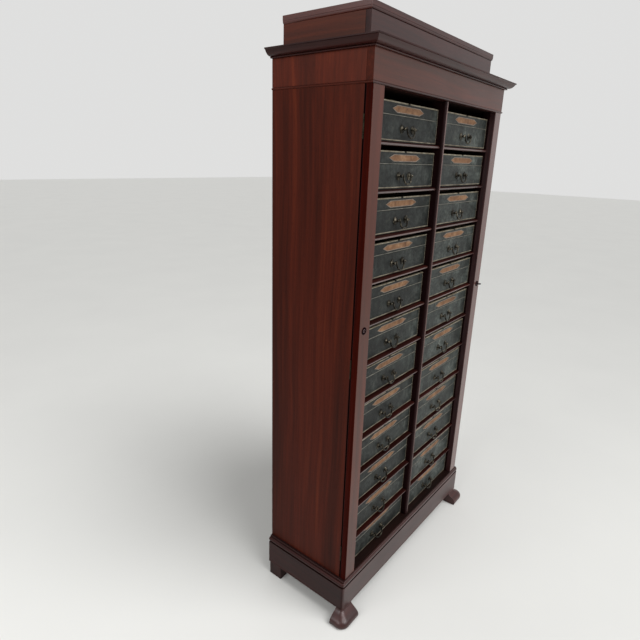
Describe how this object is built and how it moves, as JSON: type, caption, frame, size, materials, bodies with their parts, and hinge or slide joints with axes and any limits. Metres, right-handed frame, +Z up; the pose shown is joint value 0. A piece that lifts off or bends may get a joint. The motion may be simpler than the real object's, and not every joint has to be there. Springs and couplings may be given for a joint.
{
  "type": "filing cabinet",
  "caption": "Tall mahogany carton cabinet on ogee feet: two columns of pull-out leather-fronted file boxes between hinged locking stiles, with cornice and stepped attic.",
  "frame": {"origin": "centre of the whole object's plan box, on the floor under the feet", "axes": "+Z up, the front with the boxes looks towards -Y, +X to the right as seen from the front"},
  "size_m": [1.016, 0.3976, 2.0025],
  "materials": {
    "mahogany": "French polished, red-brown, glossy",
    "dark_mahogany": "French polished, dark red-brown, glossy",
    "inner_wood": "stained dark, satin",
    "carton_leather": "worn green-black, gilt lines, pale rubbed edges",
    "aged_brass": "dark patina, rubbed bright on the bends",
    "iron": "dull, dark"
  },
  "bodies": {
    "carcass": {"plinth": "dark_mahogany", "foot_front_left": "dark_mahogany", "foot_front_right": "dark_mahogany", "side_left": "mahogany", "side_right": "mahogany", "back_panel": "inner_wood", "shelf_rack": "inner_wood", "entablature": "dark_mahogany", "attic": "mahogany"},
    "stile_left": {"lock_stile_left": "mahogany"},
    "stile_right": {"lock_stile_right": "mahogany"},
    "key": {"lock_key": "iron"},
    "carton_left_01": {"carton_left_01": "carton_leather"},
    "bail_left_01": {"bail_left_01": "aged_brass"},
    "carton_left_02": {"carton_left_02": "carton_leather"},
    "bail_left_02": {"bail_left_02": "aged_brass"},
    "carton_left_03": {"carton_left_03": "carton_leather"},
    "bail_left_03": {"bail_left_03": "aged_brass"},
    "carton_left_04": {"carton_left_04": "carton_leather"},
    "bail_left_04": {"bail_left_04": "aged_brass"},
    "carton_left_05": {"carton_left_05": "carton_leather"},
    "bail_left_05": {"bail_left_05": "aged_brass"},
    "carton_left_06": {"carton_left_06": "carton_leather"},
    "bail_left_06": {"bail_left_06": "aged_brass"},
    "carton_left_07": {"carton_left_07": "carton_leather"},
    "bail_left_07": {"bail_left_07": "aged_brass"},
    "carton_left_08": {"carton_left_08": "carton_leather"},
    "bail_left_08": {"bail_left_08": "aged_brass"},
    "carton_left_09": {"carton_left_09": "carton_leather"},
    "bail_left_09": {"bail_left_09": "aged_brass"},
    "carton_left_10": {"carton_left_10": "carton_leather"},
    "bail_left_10": {"bail_left_10": "aged_brass"},
    "carton_left_11": {"carton_left_11": "carton_leather"},
    "bail_left_11": {"bail_left_11": "aged_brass"},
    "carton_left_12": {"carton_left_12": "carton_leather"},
    "bail_left_12": {"bail_left_12": "aged_brass"},
    "carton_right_01": {"carton_right_01": "carton_leather"},
    "bail_right_01": {"bail_right_01": "aged_brass"},
    "carton_right_02": {"carton_right_02": "carton_leather"},
    "bail_right_02": {"bail_right_02": "aged_brass"},
    "carton_right_03": {"carton_right_03": "carton_leather"},
    "bail_right_03": {"bail_right_03": "aged_brass"},
    "carton_right_04": {"carton_right_04": "carton_leather"},
    "bail_right_04": {"bail_right_04": "aged_brass"},
    "carton_right_05": {"carton_right_05": "carton_leather"},
    "bail_right_05": {"bail_right_05": "aged_brass"},
    "carton_right_06": {"carton_right_06": "carton_leather"},
    "bail_right_06": {"bail_right_06": "aged_brass"},
    "carton_right_07": {"carton_right_07": "carton_leather"},
    "bail_right_07": {"bail_right_07": "aged_brass"},
    "carton_right_08": {"carton_right_08": "carton_leather"},
    "bail_right_08": {"bail_right_08": "aged_brass"},
    "carton_right_09": {"carton_right_09": "carton_leather"},
    "bail_right_09": {"bail_right_09": "aged_brass"},
    "carton_right_10": {"carton_right_10": "carton_leather"},
    "bail_right_10": {"bail_right_10": "aged_brass"},
    "carton_right_11": {"carton_right_11": "carton_leather"},
    "bail_right_11": {"bail_right_11": "aged_brass"},
    "carton_right_12": {"carton_right_12": "carton_leather"},
    "bail_right_12": {"bail_right_12": "aged_brass"}
  },
  "joints": [
    {"name": "stile_left_hinge", "type": "hinge", "parent": "carcass", "child": "stile_left", "pos_m": [-0.46, -0.13795, 0.98925], "axis": [0, 0, -1], "range_deg": [0, 170]},
    {"name": "stile_right_hinge", "type": "hinge", "parent": "carcass", "child": "stile_right", "pos_m": [0.46, -0.13795, 0.98925], "axis": [0, 0, 1], "range_deg": [0, 170]},
    {"name": "key_turn", "type": "hinge", "parent": "stile_right", "child": "key", "pos_m": [0.432, -0.16025, 1.115], "axis": [0, 1, 0], "range_deg": [0, 180]},
    {"name": "carton_left_01_slide", "type": "slide", "parent": "carcass", "child": "carton_left_01", "axis": [0, -1, 0], "range_m": [0, 0.28]},
    {"name": "bail_left_01_swing", "type": "hinge", "parent": "carton_left_01", "child": "bail_left_01", "pos_m": [-0.2065, -0.13725, 1.6991], "axis": [-1, 0, 0], "range_deg": [0, 100]},
    {"name": "carton_left_02_slide", "type": "slide", "parent": "carcass", "child": "carton_left_02", "axis": [0, -1, 0], "range_m": [0, 0.28]},
    {"name": "bail_left_02_swing", "type": "hinge", "parent": "carton_left_02", "child": "bail_left_02", "pos_m": [-0.2065, -0.13725, 1.5634], "axis": [-1, 0, 0], "range_deg": [0, 100]},
    {"name": "carton_left_03_slide", "type": "slide", "parent": "carcass", "child": "carton_left_03", "axis": [0, -1, 0], "range_m": [0, 0.28]},
    {"name": "bail_left_03_swing", "type": "hinge", "parent": "carton_left_03", "child": "bail_left_03", "pos_m": [-0.2065, -0.13725, 1.4277], "axis": [-1, 0, 0], "range_deg": [0, 100]},
    {"name": "carton_left_04_slide", "type": "slide", "parent": "carcass", "child": "carton_left_04", "axis": [0, -1, 0], "range_m": [0, 0.28]},
    {"name": "bail_left_04_swing", "type": "hinge", "parent": "carton_left_04", "child": "bail_left_04", "pos_m": [-0.2065, -0.13725, 1.292], "axis": [-1, 0, 0], "range_deg": [0, 100]},
    {"name": "carton_left_05_slide", "type": "slide", "parent": "carcass", "child": "carton_left_05", "axis": [0, -1, 0], "range_m": [0, 0.28]},
    {"name": "bail_left_05_swing", "type": "hinge", "parent": "carton_left_05", "child": "bail_left_05", "pos_m": [-0.2065, -0.13725, 1.1563], "axis": [-1, 0, 0], "range_deg": [0, 100]},
    {"name": "carton_left_06_slide", "type": "slide", "parent": "carcass", "child": "carton_left_06", "axis": [0, -1, 0], "range_m": [0, 0.28]},
    {"name": "bail_left_06_swing", "type": "hinge", "parent": "carton_left_06", "child": "bail_left_06", "pos_m": [-0.2065, -0.13725, 1.0206], "axis": [-1, 0, 0], "range_deg": [0, 100]},
    {"name": "carton_left_07_slide", "type": "slide", "parent": "carcass", "child": "carton_left_07", "axis": [0, -1, 0], "range_m": [0, 0.28]},
    {"name": "bail_left_07_swing", "type": "hinge", "parent": "carton_left_07", "child": "bail_left_07", "pos_m": [-0.2065, -0.13725, 0.8849], "axis": [-1, 0, 0], "range_deg": [0, 100]},
    {"name": "carton_left_08_slide", "type": "slide", "parent": "carcass", "child": "carton_left_08", "axis": [0, -1, 0], "range_m": [0, 0.28]},
    {"name": "bail_left_08_swing", "type": "hinge", "parent": "carton_left_08", "child": "bail_left_08", "pos_m": [-0.2065, -0.13725, 0.7492], "axis": [-1, 0, 0], "range_deg": [0, 100]},
    {"name": "carton_left_09_slide", "type": "slide", "parent": "carcass", "child": "carton_left_09", "axis": [0, -1, 0], "range_m": [0, 0.28]},
    {"name": "bail_left_09_swing", "type": "hinge", "parent": "carton_left_09", "child": "bail_left_09", "pos_m": [-0.2065, -0.13725, 0.6135], "axis": [-1, 0, 0], "range_deg": [0, 100]},
    {"name": "carton_left_10_slide", "type": "slide", "parent": "carcass", "child": "carton_left_10", "axis": [0, -1, 0], "range_m": [0, 0.28]},
    {"name": "bail_left_10_swing", "type": "hinge", "parent": "carton_left_10", "child": "bail_left_10", "pos_m": [-0.2065, -0.13725, 0.4778], "axis": [-1, 0, 0], "range_deg": [0, 100]},
    {"name": "carton_left_11_slide", "type": "slide", "parent": "carcass", "child": "carton_left_11", "axis": [0, -1, 0], "range_m": [0, 0.28]},
    {"name": "bail_left_11_swing", "type": "hinge", "parent": "carton_left_11", "child": "bail_left_11", "pos_m": [-0.2065, -0.13725, 0.3421], "axis": [-1, 0, 0], "range_deg": [0, 100]},
    {"name": "carton_left_12_slide", "type": "slide", "parent": "carcass", "child": "carton_left_12", "axis": [0, -1, 0], "range_m": [0, 0.28]},
    {"name": "bail_left_12_swing", "type": "hinge", "parent": "carton_left_12", "child": "bail_left_12", "pos_m": [-0.2065, -0.13725, 0.2193], "axis": [-1, 0, 0], "range_deg": [0, 100]},
    {"name": "carton_right_01_slide", "type": "slide", "parent": "carcass", "child": "carton_right_01", "axis": [0, -1, 0], "range_m": [0, 0.28]},
    {"name": "bail_right_01_swing", "type": "hinge", "parent": "carton_right_01", "child": "bail_right_01", "pos_m": [0.2065, -0.14125, 1.6991], "axis": [-1, 0, 0], "range_deg": [0, 100]},
    {"name": "carton_right_02_slide", "type": "slide", "parent": "carcass", "child": "carton_right_02", "axis": [0, -1, 0], "range_m": [0, 0.28]},
    {"name": "bail_right_02_swing", "type": "hinge", "parent": "carton_right_02", "child": "bail_right_02", "pos_m": [0.2065, -0.14125, 1.5634], "axis": [-1, 0, 0], "range_deg": [0, 100]},
    {"name": "carton_right_03_slide", "type": "slide", "parent": "carcass", "child": "carton_right_03", "axis": [0, -1, 0], "range_m": [0, 0.28]},
    {"name": "bail_right_03_swing", "type": "hinge", "parent": "carton_right_03", "child": "bail_right_03", "pos_m": [0.2065, -0.14125, 1.4277], "axis": [-1, 0, 0], "range_deg": [0, 100]},
    {"name": "carton_right_04_slide", "type": "slide", "parent": "carcass", "child": "carton_right_04", "axis": [0, -1, 0], "range_m": [0, 0.28]},
    {"name": "bail_right_04_swing", "type": "hinge", "parent": "carton_right_04", "child": "bail_right_04", "pos_m": [0.2065, -0.14125, 1.292], "axis": [-1, 0, 0], "range_deg": [0, 100]},
    {"name": "carton_right_05_slide", "type": "slide", "parent": "carcass", "child": "carton_right_05", "axis": [0, -1, 0], "range_m": [0, 0.28]},
    {"name": "bail_right_05_swing", "type": "hinge", "parent": "carton_right_05", "child": "bail_right_05", "pos_m": [0.2065, -0.14125, 1.1563], "axis": [-1, 0, 0], "range_deg": [0, 100]},
    {"name": "carton_right_06_slide", "type": "slide", "parent": "carcass", "child": "carton_right_06", "axis": [0, -1, 0], "range_m": [0, 0.28]},
    {"name": "bail_right_06_swing", "type": "hinge", "parent": "carton_right_06", "child": "bail_right_06", "pos_m": [0.2065, -0.14125, 1.0206], "axis": [-1, 0, 0], "range_deg": [0, 100]},
    {"name": "carton_right_07_slide", "type": "slide", "parent": "carcass", "child": "carton_right_07", "axis": [0, -1, 0], "range_m": [0, 0.28]},
    {"name": "bail_right_07_swing", "type": "hinge", "parent": "carton_right_07", "child": "bail_right_07", "pos_m": [0.2065, -0.14125, 0.8849], "axis": [-1, 0, 0], "range_deg": [0, 100]},
    {"name": "carton_right_08_slide", "type": "slide", "parent": "carcass", "child": "carton_right_08", "axis": [0, -1, 0], "range_m": [0, 0.28]},
    {"name": "bail_right_08_swing", "type": "hinge", "parent": "carton_right_08", "child": "bail_right_08", "pos_m": [0.2065, -0.14125, 0.7492], "axis": [-1, 0, 0], "range_deg": [0, 100]},
    {"name": "carton_right_09_slide", "type": "slide", "parent": "carcass", "child": "carton_right_09", "axis": [0, -1, 0], "range_m": [0, 0.28]},
    {"name": "bail_right_09_swing", "type": "hinge", "parent": "carton_right_09", "child": "bail_right_09", "pos_m": [0.2065, -0.14125, 0.6135], "axis": [-1, 0, 0], "range_deg": [0, 100]},
    {"name": "carton_right_10_slide", "type": "slide", "parent": "carcass", "child": "carton_right_10", "axis": [0, -1, 0], "range_m": [0, 0.28]},
    {"name": "bail_right_10_swing", "type": "hinge", "parent": "carton_right_10", "child": "bail_right_10", "pos_m": [0.2065, -0.14125, 0.4778], "axis": [-1, 0, 0], "range_deg": [0, 100]},
    {"name": "carton_right_11_slide", "type": "slide", "parent": "carcass", "child": "carton_right_11", "axis": [0, -1, 0], "range_m": [0, 0.28]},
    {"name": "bail_right_11_swing", "type": "hinge", "parent": "carton_right_11", "child": "bail_right_11", "pos_m": [0.2065, -0.14125, 0.3421], "axis": [-1, 0, 0], "range_deg": [0, 100]},
    {"name": "carton_right_12_slide", "type": "slide", "parent": "carcass", "child": "carton_right_12", "axis": [0, -1, 0], "range_m": [0, 0.28]},
    {"name": "bail_right_12_swing", "type": "hinge", "parent": "carton_right_12", "child": "bail_right_12", "pos_m": [0.2065, -0.14125, 0.2193], "axis": [-1, 0, 0], "range_deg": [0, 100]}
  ]
}
